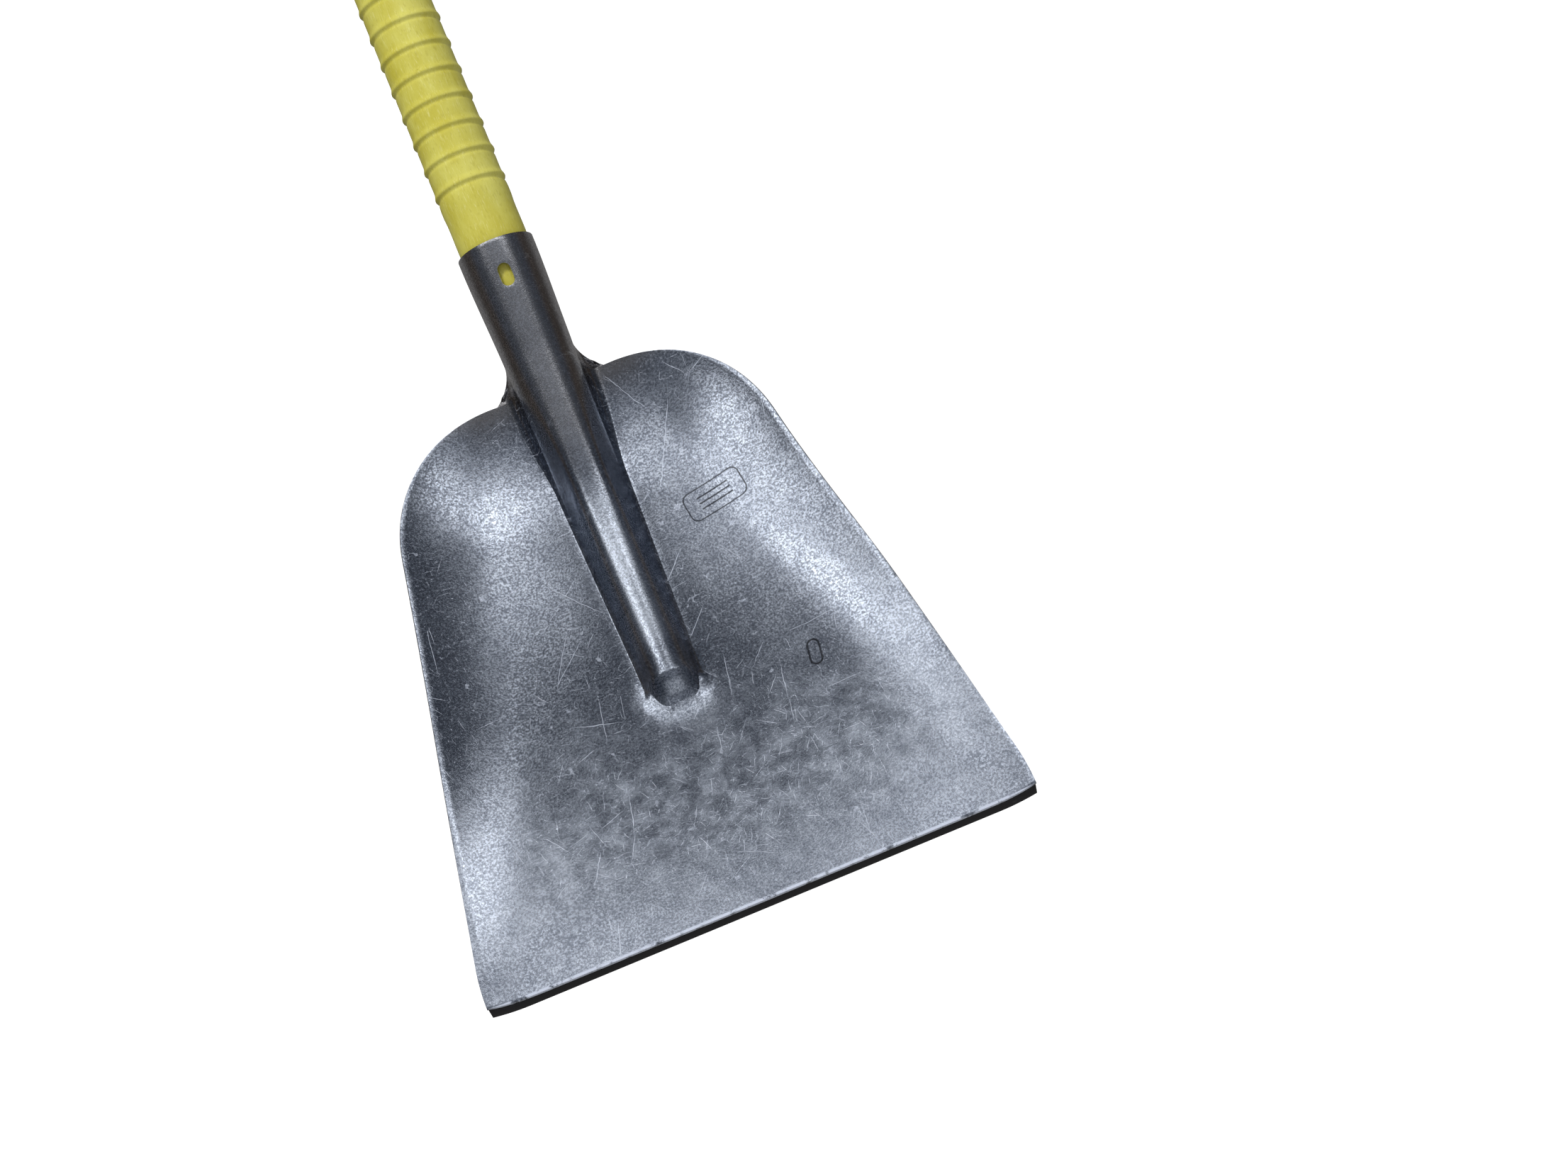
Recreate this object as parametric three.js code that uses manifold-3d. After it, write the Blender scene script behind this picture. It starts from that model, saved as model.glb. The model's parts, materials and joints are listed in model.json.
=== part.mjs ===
// Grain scoop shovel: a pressed steel scoop with its socket, a black strip under the front
// edge, a straight handle with grip rings and a knob, and the screw that holds the handle.
// Millimetres, +Z up. The shovel lies on its back, with the handle along +Y and the front
// edge towards -Y: the knob and the back of the socket rest on z = 0.
import * as THREE from 'three';
import { mergeVertices } from 'three/addons/utils/BufferGeometryUtils.js';
import Module from 'manifold-3d';

const wasm = await Module();
wasm.setup();

const rad = THREE.MathUtils.degToRad;

// ---- driving dimensions ----
const LIFT = rad(20.4); // angle between the handle and the flat of the blade
const GAP = 0.3; // clearance between pieces that touch

const SHEET = 1.8; // sheet thickness
const BLADE_LENGTH = 312; // front edge to shoulders, along the blade
const FRONT_HALF = 143; // half width at the front edge
const SIDE_TAPER = 0.162; // how much the half width shrinks for each mm back
const FRONT_CORNER = 22; // the front corners are eased over this length
const CORNER_TUCK = 2; // and drawn in and back by this much
const CORNER_START = 245; // where the round back corners start
const CORNER_POWER = 2.2; // above 2 makes them fuller than an ellipse
const SHOULDER_HALF = 30; // half width where the blade meets the socket
const WANE = 3; // the right side is drawn in by this much
const WANE_AT = 240; // most of all here
const WANE_HALF = 110; // and not at all this far from there

const SIDE_CURL = 2; // how far the side edges turn up at the front
const SIDE_CURL_BACK = 7.7; // and at the back
const CURL_WIDTH = 33; // width of the turned-up band at the front
const CURL_WIDTH_BACK = 54;
const BOWL_DEPTH = 9; // broad hollow across the back of the blade
const BOWL_START = -20; // where it starts to deepen
const BOWL_LENGTH = 167; // and over what length
const BOWL_POWER = 1.9;
const BELLY_DEPTH = 7; // long shallow hollow from the front edge to the heel
const BELLY_AT = 176; // deepest here
const BELLY_HALF = 165; // and gone this far from there
const HEEL_RISE = 11.4; // how far the back edge turns up
const HEEL_WIDTH = 75;
const TROUGH_DEPTH = 2.3; // slight dip along both sides of the ridge
const TROUGH_AT = 20;
const TROUGH_WIDTH = 54;

const RIDGE_END = 118; // front end of the pressed ridge
const RIDGE_NOSE = 15; // length of its rounded nose
const RIDGE_HALF = 12.5; // half width behind the nose
const RIDGE_HEIGHT = 11; // height behind the nose
const RIDGE_HEIGHT_BACK = 20;
const RIDGE_FOOT = 3; // height of the rounded foot
const FOOT_FILLET = 2.6;
const NOSE_FILLET = 11;
const BACK_FILLET = 8; // extra, at the shoulders
const BACK_FILLET_START = 255; // and growing from here
const TOP_RADIUS = 1.15; // of the ridge's top, as a share of its half width
const TOP_SLOPE = rad(15); // where that top ends
const WALL_SLOPE = rad(66); // of the ridge's straight walls
const SWELL = 3.4; // the low mound in the blade round the ridge's nose
const SWELL_AT = 129;
const SWELL_REACH = 23;
const SWELL_FADE = 22; // it's gone this far behind its middle
const BEND_BLEND = 4; // softens the bend between ridge and socket
const ROUND_START = 235; // from here back the ridge turns from a hump into the socket's tube

const AXIS_Y = 275.2; // a point of the handle's axis, in the blade's own frame
const AXIS_Z = 6;
const SHOULDER_AT = (BLADE_LENGTH - AXIS_Y) / Math.cos(LIFT); // shoulders, along the axis
const RIM_AT = 112; // socket rim, along the axis from that point
const RIM_RADIUS = 20.6;
const WAIST_RADIUS = 18.7; // socket radius just behind the shoulders
const FLARE = 36; // length over which the shoulders roll up into the socket
const FLARE_EDGE = 19; // and over which the outline narrows to the waist
const SEAM_HALF = rad(3); // half of the open seam at the back of the socket

const SLOT_AT = 92; // oblong hole in the front of the socket, along the axis
const SLOT_WIDTH = 7;
const SLOT_LENGTH = 12.5;

const STRIP_THICK = 7.5; // in the middle; its lower face is flat
const STRIP_DEPTH = 14; // front to back

const HANDLE_START = 4; // buried end of the handle, along the axis
const HANDLE_END = 1190; // flat of the knob, along the axis
const HANDLE_RIM = 18.4; // handle radius at the socket rim
const GRIP_RADIUS = 18.9; // between the grip rings
const RING_HEIGHT = 0.9;
const RING_HALF = 3; // half width of one grip ring
const RING_COUNT = 12;
const RING_PITCH = 15.6;
const FIRST_RING = RIM_AT + 35.5;
const SHAFT_RADIUS = 17.2;
const NECK_RADIUS = 19;
const KNOB_RADIUS = 21.5;
const KNOB_CORNER = 14; // rounding of the knob's end
const KNOB_ROUND = 15; // length of that rounding
const KNOB_FLAT = 7.5; // radius of the flat on the end of the knob

const SCREW_AT = 96; // fixing screw, along the axis
const SCREW_ANGLE = rad(135); // from the front of the socket round to its back
const SCREW_RADIUS = 2.2;
const SCREW_HEAD_RADIUS = 4.6;
const SCREW_HEAD = 2.6;
const SCREW_LENGTH = 20;

// ---- materials ----
const steel = new THREE.MeshStandardMaterial({ color: 0x6f737b, roughness: 0.42, metalness: 0.95 });
const black = new THREE.MeshStandardMaterial({ color: 0x222226, roughness: 0.6, metalness: 0.1 });
const yellow = new THREE.MeshStandardMaterial({ color: 0xc4bd50, roughness: 0.5, metalness: 0 });
const zinc = new THREE.MeshStandardMaterial({ color: 0xb9bbbd, roughness: 0.35, metalness: 0.9 });

// ---- helpers ----
const mix = (a, b, t) => a + (b - a) * t;
const clamp01 = (t) => Math.min(1, Math.max(0, t));
const ease = (t) => clamp01(t) ** 2 * (3 - 2 * clamp01(t));
const bell = (t) => Math.cos(Math.min(1, Math.abs(t)) * Math.PI / 2) ** 2;
const softMax = (a, b, width) => 0.5 * (a + b + Math.sqrt((a - b) ** 2 + width ** 2));

function manifoldFrom(geometry) {
  const g = geometry.index ? geometry.clone() : geometry;
  g.deleteAttribute('normal');
  g.deleteAttribute('uv');
  const merged = mergeVertices(g, 1e-4);
  return new wasm.Manifold(new wasm.Mesh({
    numProp: 3,
    vertProperties: new Float32Array(merged.attributes.position.array),
    triVerts: new Uint32Array(merged.index.array),
  }));
}

function geometryFrom(solid) {
  const mesh = solid.getMesh();
  const g = new THREE.BufferGeometry();
  g.setAttribute('position', new THREE.BufferAttribute(new Float32Array(mesh.vertProperties), 3));
  g.setIndex(new THREE.BufferAttribute(new Uint32Array(mesh.triVerts), 1));
  g.computeVertexNormals();
  return g;
}

// A closed skin between two grids of points, its upper face and its lower face.
function skinBetween(upper, lower) {
  const ni = upper.length;
  const nj = upper[0].length;
  const positions = [];
  for (const row of [...upper, ...lower]) for (const p of row) positions.push(p.x, p.y, p.z);
  const index = [];
  const id = (side, i, j) => side * ni * nj + i * nj + j;
  const quad = (a, b, c, d) => index.push(a, b, c, a, c, d);
  for (let i = 0; i < ni - 1; i++) {
    for (let j = 0; j < nj - 1; j++) {
      quad(id(0, i, j), id(0, i, j + 1), id(0, i + 1, j + 1), id(0, i + 1, j));
      quad(id(1, i, j), id(1, i + 1, j), id(1, i + 1, j + 1), id(1, i, j + 1));
    }
    quad(id(0, i, 0), id(0, i + 1, 0), id(1, i + 1, 0), id(1, i, 0));
    quad(id(0, i, nj - 1), id(1, i, nj - 1), id(1, i + 1, nj - 1), id(0, i + 1, nj - 1));
  }
  for (let j = 0; j < nj - 1; j++) {
    quad(id(0, 0, j), id(1, 0, j), id(1, 0, j + 1), id(0, 0, j + 1));
    quad(id(0, ni - 1, j), id(0, ni - 1, j + 1), id(1, ni - 1, j + 1), id(1, ni - 1, j));
  }
  const g = new THREE.BufferGeometry();
  g.setAttribute('position', new THREE.Float32BufferAttribute(positions, 3));
  g.setIndex(index);
  return g;
}

// A sheet whose upper face is a grid of points: its lower face is the grid moved in by the thickness.
function sheetGeometry(rows, thickness) {
  const ni = rows.length;
  const nj = rows[0].length;
  const lower = rows.map((row, i) => row.map((p, j) => {
    const along = rows[Math.min(i + 1, ni - 1)][j].clone().sub(rows[Math.max(i - 1, 0)][j]);
    const across = row[Math.min(j + 1, nj - 1)].clone().sub(row[Math.max(j - 1, 0)]);
    const normal = across.cross(along).normalize();
    return p.clone().addScaledVector(normal, -thickness);
  }));
  return skinBetween(rows, lower);
}

// ---- the scoop's surface, in the blade's frame: x across, y back, z up off its load face ----
const sideLine = (y) => FRONT_HALF - SIDE_TAPER * y;

function halfWidth(y) {
  const t = clamp01((y - CORNER_START) / (BLADE_LENGTH - CORNER_START));
  const corner = (1 - t ** CORNER_POWER) ** (1 / CORNER_POWER);
  const tuck = CORNER_TUCK * clamp01(1 - y / FRONT_CORNER) ** 2;
  return SHOULDER_HALF + (sideLine(y) - SHOULDER_HALF) * corner - tuck;
}

// How far the right side is drawn in; the blade isn't quite even.
const wane = (x, y, edge) => WANE * bell((y - WANE_AT) / WANE_HALF) * Math.max(0, x / edge) ** 2;

// How far the front corners are drawn back from the straight edge.
function tuckBack(x, y) {
  const across = clamp01((Math.abs(x) - sideLine(y) + FRONT_CORNER) / FRONT_CORNER) ** 2;
  return CORNER_TUCK * across * clamp01(1 - y / (2 * FRONT_CORNER));
}

function dish(x, y) {
  const back = clamp01(y / CORNER_START);
  const across = Math.abs(x);
  const curlWidth = mix(CURL_WIDTH, CURL_WIDTH_BACK, back);
  const curl = clamp01((across - sideLine(y) + curlWidth) / curlWidth) ** 2;
  const bowl = ease((y - BOWL_START) / BOWL_LENGTH) * (across / sideLine(y)) ** BOWL_POWER;
  const heel = HEEL_RISE * clamp01((y - BLADE_LENGTH + HEEL_WIDTH) / HEEL_WIDTH) ** 2;
  const belly = BELLY_DEPTH * bell((y - BELLY_AT) / BELLY_HALF);
  const trough = ease((y - 100) / 100) * Math.exp(-(((across - TROUGH_AT) / TROUGH_WIDTH) ** 2));
  const sides = mix(SIDE_CURL, SIDE_CURL_BACK, back) * curl + BOWL_DEPTH * bowl;
  return sides + heel - belly - TROUGH_DEPTH * trough;
}

// The low mound in the blade round the ridge's nose.
function swell(x, y) {
  const reach = Math.hypot(x, Math.min(0, y - SWELL_AT)) / SWELL_REACH;
  return SWELL * bell(reach) * (1 - ease((y - SWELL_AT) / SWELL_FADE));
}

const axisHeight = (y) => AXIS_Z + (y - AXIS_Y) * Math.tan(LIFT);

// How far the ridge's section has turned from a hump into the socket's tube.
const roundShare = (y) => ease((y - ROUND_START) / (BLADE_LENGTH - ROUND_START));

function ridgeSection(y) {
  const along = clamp01((y - RIDGE_END) / RIDGE_NOSE);
  const nose = ease(along);
  const plan = mix(0.45, 1, Math.sqrt(1 - (1 - along) ** 2));
  const back = clamp01((y - RIDGE_END) / (CORNER_START - RIDGE_END));
  const half = mix(RIDGE_HALF, WAIST_RADIUS, clamp01((y - RIDGE_END) / (BLADE_LENGTH - RIDGE_END)));
  const base = dish(0, y);
  const blend = nose * BEND_BLEND * (1 - roundShare(y));
  const pressed = base + mix(swell(0, y), mix(RIDGE_HEIGHT, RIDGE_HEIGHT_BACK, back), nose);
  const crest = softMax(pressed, axisHeight(y) + WAIST_RADIUS / Math.cos(LIFT), blend);
  const low = Math.max(swell(half * plan, y), nose * RIDGE_FOOT);
  const foot = softMax(base + low, axisHeight(y), blend);
  const extra = BACK_FILLET * ease((y - BACK_FILLET_START) / (BLADE_LENGTH - BACK_FILLET_START));
  return { half: half * plan, crest, foot, fillet: mix(NOSE_FILLET, FOOT_FILLET, nose) + extra };
}

// How far the ridge has fallen at x: a gently round top, round shoulders, straight walls.
function fall(x, half, height) {
  const top = TOP_RADIUS * half;
  const wall = Math.tan(WALL_SLOPE);
  const topX = top * Math.sin(TOP_SLOPE);
  const topFall = top * (1 - Math.cos(TOP_SLOPE));
  const bendX = Math.sin(WALL_SLOPE) - Math.sin(TOP_SLOPE);
  const bendFall = Math.cos(TOP_SLOPE) - Math.cos(WALL_SLOPE);
  const least = topFall + ((half - topX) / bendX) * bendFall; // the fall of a section with no wall
  const tall = Math.max(height, least);
  const bend = (wall * (half - topX) + topFall - tall) / (wall * bendX - bendFall);
  let drop = tall - (half - x) * wall;
  if (x < topX) {
    drop = top - Math.sqrt(top ** 2 - x ** 2);
  } else if (x < topX + bend * bendX) {
    const sine = Math.sin(TOP_SLOPE) + (x - topX) / bend;
    drop = topFall + bend * (Math.cos(TOP_SLOPE) - Math.sqrt(1 - sine ** 2));
  }
  return (drop * height) / tall;
}

const ARC_STEPS = 5; // crest to side, on each half of a section
const FILLET_STEPS = 2;
const WING_STEPS = 7;
const wingStep = (k) => (k / WING_STEPS) ** 0.85;

// Half a section across the blade, from the crest out to the edge, as (x, z).
function bladeSection(y, edge) {
  const { half, crest, foot, fillet: wanted } = ridgeSection(y);
  const fillet = Math.min(wanted, edge - half - 0.3);
  const round = roundShare(y);
  const points = [];
  for (let i = 0; i <= ARC_STEPS; i++) {
    const a = (i / ARC_STEPS) * Math.PI / 2;
    const x = half * Math.sin(a);
    const height = crest - foot;
    points.push([x, foot + mix(height - fall(x, half, height), height * Math.cos(a), round)]);
  }
  for (let i = 1; i <= FILLET_STEPS; i++) {
    const t = i / FILLET_STEPS;
    const x = half + fillet * mix(t, 1 - Math.cos(t * Math.PI / 2), round);
    const base = dish(x, y) + swell(x, y);
    points.push([x, base + (foot - base) * (1 - t) ** 2]);
  }
  for (let k = 1; k <= WING_STEPS; k++) {
    const x = mix(half + fillet, edge, wingStep(k));
    points.push([x, dish(x, y) + swell(x, y)]);
  }
  return points;
}

// Half a section round the socket, square to its axis, as (x, height off the axis).
function socketSection(radius) {
  const points = [];
  for (let i = 0; i <= ARC_STEPS; i++) {
    const a = (i / ARC_STEPS) * Math.PI / 2;
    points.push([radius * Math.sin(a), radius * Math.cos(a)]);
  }
  const rest = FILLET_STEPS + WING_STEPS;
  for (let i = 1; i <= rest; i++) {
    const a = Math.PI / 2 + (i / rest) * (Math.PI / 2 - SEAM_HALF);
    points.push([radius * Math.sin(a), radius * Math.cos(a)]);
  }
  return points;
}

const mirrored = (half) => [...half.slice(1).reverse().map(([x, z]) => [-x, z]), ...half];

const axisPoint = (s) => new THREE.Vector3(0, AXIS_Y + s * Math.cos(LIFT), AXIS_Z + s * Math.sin(LIFT));

function socketRadius(s) {
  return mix(WAIST_RADIUS, RIM_RADIUS, ease((s - SHOULDER_AT) / (RIM_AT - SHOULDER_AT)));
}

function scoopRows() {
  const stations = [0, 5, 11, 18, 28, 46, 66, 86, 99, 106, 112, RIDGE_END];
  for (const t of [0.1, 0.25, 0.45, 0.7, 1]) stations.push(RIDGE_END + RIDGE_NOSE * t);
  for (let y = stations.at(-1) + 14; y < CORNER_START - 5; y += 17) stations.push(y);
  const cornerSteps = 13;
  for (let i = 0; i <= cornerSteps; i++) {
    const t = Math.sin((i / cornerSteps) * Math.PI / 2);
    stations.push(mix(CORNER_START, BLADE_LENGTH, t));
  }
  const rows = stations.map((y) => {
    const edge = halfWidth(y);
    return mirrored(bladeSection(y, edge))
      .map(([x, z]) => new THREE.Vector3(x - wane(x, y, edge), y + tuckBack(x, y), z));
  });
  const socketStations = [5, 10, 16, 23, 30, FLARE, 50, RIM_AT - SHOULDER_AT];
  for (const d of socketStations) {
    const s = SHOULDER_AT + d;
    const turn = clamp01(d / 20); // section planes turn from square to the blade to square to the axis
    const tilt = LIFT * turn;
    const closed = ease(d / FLARE);
    const centre = axisPoint(s);
    const round = socketSection(socketRadius(s));
    const stretch = 1 / Math.cos(LIFT - tilt);
    const spread = (1 - clamp01(d / FLARE_EDGE)) ** 2;
    const edge = mix(WAIST_RADIUS + 0.6, SHOULDER_HALF, spread);
    const flat = bladeSection(BLADE_LENGTH, edge);
    const drop = axisHeight(BLADE_LENGTH) + d * Math.sin(LIFT) * 0.6;
    const half = round.map(([rx, rz], i) => {
      const [fx, fz] = flat[i];
      const onArc = i <= ARC_STEPS;
      const height = onArc ? rz * stretch : fz - drop;
      return [mix(onArc ? rx : fx, rx, closed), mix(height, rz * stretch, closed)];
    });
    rows.push(mirrored(half).map(([x, b]) => new THREE.Vector3(
      x - wane(x, BLADE_LENGTH, edge) * spread,
      centre.y - b * Math.sin(tilt),
      centre.z + b * Math.cos(tilt),
    )));
  }
  return rows;
}

// ---- cutters along the socket ----
function alongAxis(geometry, s, angle) {
  // The geometry points along +Z out of the socket's front; angle turns it round the axis.
  const turn = new THREE.Matrix4().makeRotationY(angle);
  const lift = new THREE.Matrix4().makeRotationX(LIFT);
  const place = new THREE.Matrix4().makeTranslation(...axisPoint(s));
  return geometry.applyMatrix4(turn).applyMatrix4(lift).applyMatrix4(place);
}

function slotCutter() {
  const r = SLOT_WIDTH / 2;
  const straight = (SLOT_LENGTH - SLOT_WIDTH) / 2;
  const shape = new THREE.Shape();
  shape.absarc(0, straight, r, 0, Math.PI);
  shape.absarc(0, -straight, r, Math.PI, 2 * Math.PI);
  shape.closePath();
  const g = new THREE.ExtrudeGeometry(shape, { depth: 20, bevelEnabled: false, curveSegments: 6 });
  g.translate(0, 0, 8);
  return alongAxis(g, SLOT_AT, 0);
}

function shankCutter(radius) {
  const g = new THREE.CylinderGeometry(radius, radius, 32, 12);
  g.rotateX(Math.PI / 2);
  g.translate(0, 0, 14);
  return alongAxis(g, SCREW_AT, SCREW_ANGLE);
}

// ---- the pieces, in the blade's frame ----
function scoopSheet() {
  const sheet = manifoldFrom(sheetGeometry(scoopRows(), SHEET));
  return sheet
    .subtract(manifoldFrom(slotCutter()))
    .subtract(manifoldFrom(shankCutter(SCREW_RADIUS + GAP)));
}

function edgeStrip() {
  const shares = [0.25, 0.7, 0.84, 0.88, 0.92, 0.96, 1];
  const steps = [...shares.map((t) => -t).reverse(), ...shares];
  const grid = (height) => [0, STRIP_DEPTH / 2, STRIP_DEPTH].map((y) => steps.map((t) => {
    const x = t * (halfWidth(y) - 0.4);
    return new THREE.Vector3(x, y + tuckBack(x, y), height(x, y));
  }));
  const upper = grid((x, y) => dish(x, y) - SHEET - GAP);
  const lower = grid(() => -SHEET - GAP - STRIP_THICK);
  return manifoldFrom(skinBetween(upper, lower));
}

// The handle's outline from its buried end to the flat of the knob, as [radius, place along it].
function handleProfile() {
  const p = [[0, HANDLE_START], [9, HANDLE_START + 1], [12.5, HANDLE_START + 9]];
  p.push([WAIST_RADIUS - SHEET - 0.6, SHOULDER_AT + 6], [HANDLE_RIM - 1.7, RIM_AT - 14]);
  p.push([HANDLE_RIM, RIM_AT], [HANDLE_RIM + 0.1, RIM_AT + 20], [GRIP_RADIUS, RIM_AT + 27]);
  for (let i = 0; i < RING_COUNT; i++) {
    const s = FIRST_RING + i * RING_PITCH;
    p.push([GRIP_RADIUS, s - RING_HALF], [GRIP_RADIUS + RING_HEIGHT, s], [GRIP_RADIUS, s + RING_HALF]);
  }
  const gripEnd = FIRST_RING + RING_COUNT * RING_PITCH;
  p.push([GRIP_RADIUS - 0.5, gripEnd + 30], [SHAFT_RADIUS, gripEnd + 150]);
  p.push([SHAFT_RADIUS, HANDLE_END - 300], [SHAFT_RADIUS + 0.5, HANDLE_END - 150]);
  p.push([NECK_RADIUS, HANDLE_END - 44], [NECK_RADIUS + 1, HANDLE_END - 31]);
  p.push([KNOB_RADIUS - 0.3, HANDLE_END - 21], [KNOB_RADIUS, HANDLE_END - KNOB_ROUND]);
  for (const degrees of [22, 42, 60, 76]) {
    const r = KNOB_RADIUS - KNOB_CORNER * (1 - Math.cos(rad(degrees)));
    p.push([r, HANDLE_END - KNOB_ROUND * (1 - Math.sin(rad(degrees)))]);
  }
  p.push([KNOB_FLAT, HANDLE_END], [0, HANDLE_END]);
  return p.map(([r, s]) => new THREE.Vector2(r, s));
}

function handleSolid() {
  const g = new THREE.LatheGeometry(handleProfile(), 24); // turned about +Y
  alongAxis(g, 0, 0);
  return manifoldFrom(g).subtract(manifoldFrom(shankCutter(SCREW_RADIUS + GAP)));
}

function screwSolid() {
  const seat = socketRadius(SCREW_AT) + GAP;
  const tip = seat - SCREW_LENGTH;
  const profile = [[0, tip], [SCREW_RADIUS * 0.5, tip + 1.6], [SCREW_RADIUS, tip + 4], [SCREW_RADIUS, seat]];
  profile.push([SCREW_HEAD_RADIUS, seat], [SCREW_HEAD_RADIUS, seat + 0.9]);
  profile.push([SCREW_HEAD_RADIUS * 0.72, seat + SCREW_HEAD * 0.85], [0, seat + SCREW_HEAD]);
  const g = new THREE.LatheGeometry(profile.map(([r, h]) => new THREE.Vector2(r, h)), 16);
  g.rotateX(Math.PI / 2); // out along +Z
  return manifoldFrom(alongAxis(g, SCREW_AT, SCREW_ANGLE));
}

function piece(name, solid, material) {
  const mesh = new THREE.Mesh(geometryFrom(solid), material);
  mesh.name = name;
  return mesh;
}

// The blade's frame turns by the lift, so that the handle's axis lies level at the knob's
// radius above the floor; the origin is under the middle of the whole shovel.
const shovel = new THREE.Group();
const bladeFrame = new THREE.Group();
bladeFrame.rotation.x = -LIFT;
const level = new THREE.Vector3(0, AXIS_Y, AXIS_Z).applyEuler(bladeFrame.rotation);
const overhang = (SHEET + GAP + STRIP_THICK) * Math.sin(LIFT); // the strip's lower corner, in front
const middle = (HANDLE_END - level.y - overhang) / 2; // of the whole length, from the axis point
bladeFrame.position.set(0, -middle - level.y, KNOB_RADIUS - level.z);
bladeFrame.add(piece('scoop_sheet', scoopSheet(), steel));
bladeFrame.add(piece('front_edge_strip', edgeStrip(), black));
bladeFrame.add(piece('handle', handleSolid(), yellow));
bladeFrame.add(piece('socket_screw', screwSolid(), zinc));
shovel.add(bladeFrame);

export default shovel;
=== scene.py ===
"""Looks of the grain scoop shovel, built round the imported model.

The scoop's surface is worked out in the blade's own frame, in millimetres: x across, y back
from the front edge, z up off the load face. The handle and the socket follow the handle's
axis, which is lifted off the blade by LIFT. Every mesh is then turned into the row's frame.
"""
import json
import math

import bmesh
import bpy
from mathutils import Matrix, Vector

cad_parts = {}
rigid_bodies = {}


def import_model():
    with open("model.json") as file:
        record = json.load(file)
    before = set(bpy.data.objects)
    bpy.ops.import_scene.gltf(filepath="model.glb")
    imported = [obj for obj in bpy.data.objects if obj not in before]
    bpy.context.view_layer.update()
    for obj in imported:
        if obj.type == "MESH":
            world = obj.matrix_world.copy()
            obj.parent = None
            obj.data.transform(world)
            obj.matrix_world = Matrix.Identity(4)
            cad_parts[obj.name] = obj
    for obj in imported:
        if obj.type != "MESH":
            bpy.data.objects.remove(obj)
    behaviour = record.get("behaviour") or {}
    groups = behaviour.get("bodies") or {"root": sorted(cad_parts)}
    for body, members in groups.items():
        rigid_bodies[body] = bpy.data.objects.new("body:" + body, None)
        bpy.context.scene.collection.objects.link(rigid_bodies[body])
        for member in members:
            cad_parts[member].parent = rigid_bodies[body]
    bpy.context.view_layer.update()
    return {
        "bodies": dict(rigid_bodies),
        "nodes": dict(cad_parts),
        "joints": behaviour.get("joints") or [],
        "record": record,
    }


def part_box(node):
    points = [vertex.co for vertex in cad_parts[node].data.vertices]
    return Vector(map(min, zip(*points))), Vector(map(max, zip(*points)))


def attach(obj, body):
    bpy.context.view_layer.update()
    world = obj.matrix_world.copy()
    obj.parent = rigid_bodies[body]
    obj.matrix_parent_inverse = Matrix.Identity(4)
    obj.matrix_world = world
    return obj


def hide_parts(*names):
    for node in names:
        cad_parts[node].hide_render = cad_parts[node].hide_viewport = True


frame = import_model()
scene = bpy.context.scene
mounts = {m["name"]: m for m in frame["record"]["mounts"]}

MM = 0.001
LIFT = math.asin(mounts["front_edge"]["axis"][2])
KNOB_END = Vector(mounts["knob_end"]["pos_m"])
COS_LIFT, SIN_LIFT = math.cos(LIFT), math.sin(LIFT)

# ---- camera first: the photograph's viewing angle ----
FRONT_EDGE = Vector(mounts["front_edge"]["pos_m"])
EYE = FRONT_EDGE + Vector((-0.019, -0.113, 1.573))
LOOK_AT = FRONT_EDGE + Vector((0.0686, 0.1453, -0.0497))
BLADE_MIDDLE = Vector((0, -0.58, 0.06))
HANDLE_LEAN = math.radians(22.7)  # how far the handle leans left in the picture
LENS_MM = 75.7

# ---- driving dimensions of the scoop, millimetres ----
GAP = 0.3
SHEET = 1.8
BLADE_LENGTH = 312
FRONT_HALF = 143
SIDE_TAPER = 0.162
CORNER_START = 245
FRONT_CORNER, CORNER_TUCK = 22, 2
CORNER_POWER = 2.2  # above 2 makes the back corners fuller than an ellipse
WANE, WANE_AT, WANE_HALF = 3, 240, 110  # the right side is drawn in a little there
SHOULDER_HALF = 30
SIDE_CURL, SIDE_CURL_BACK = 2, 7.7
CURL_WIDTH, CURL_WIDTH_BACK = 33, 54
BOWL_DEPTH, BOWL_START, BOWL_LENGTH, BOWL_POWER = 9, -20, 167, 1.9
TROUGH_START, TROUGH_GROWTH = 100, 100
BELLY_DEPTH, BELLY_AT, BELLY_HALF = 7, 176, 165
HEEL_RISE, HEEL_WIDTH = 11.4, 75
TROUGH_DEPTH, TROUGH_AT, TROUGH_WIDTH = 2.3, 20, 54
RIDGE_END, RIDGE_NOSE = 118, 15
NOSE_WIDTH = 0.45  # of the nose's tip, as a share of the ridge's width
SWELL, SWELL_AT = 3.4, 129  # the low mound in the blade round the ridge's nose
SWELL_REACH, SWELL_FADE = 23, 22
RIDGE_HALF = 12.5
RIDGE_HEIGHT, RIDGE_HEIGHT_BACK = 11, 20
RIDGE_FOOT = 3
FOOT_FILLET, NOSE_FILLET = 2.6, 11
BACK_FILLET, BACK_FILLET_START = 8, 255  # extra, growing from there to the shoulders
TOP_RADIUS = 1.15  # of the ridge's top, as a share of its half width
TOP_SLOPE, WALL_SLOPE = math.radians(15), math.radians(66)  # where the top ends; the walls
BEND_BLEND = 4
ROUND_START = 235  # from here back the ridge turns from a hump into the socket's tube
AXIS_Y, AXIS_Z = 275.2, 6  # a point of the handle's axis, in the blade's frame
SHOULDER_AT = (BLADE_LENGTH - AXIS_Y) / COS_LIFT  # along the axis from that point
RIM_AT = 112
RIM_RADIUS, WAIST_RADIUS = 20.6, 18.7
FLARE, FLARE_EDGE = 36, 19
TILT_LENGTH = 20  # over which the sections turn from square to the blade to square to the axis
SHOULDER_LIP = 0.6
SINK = 0.6  # of the shoulders' edge, as a share of the axis's rise
SEAM_HALF = math.radians(3)
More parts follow.
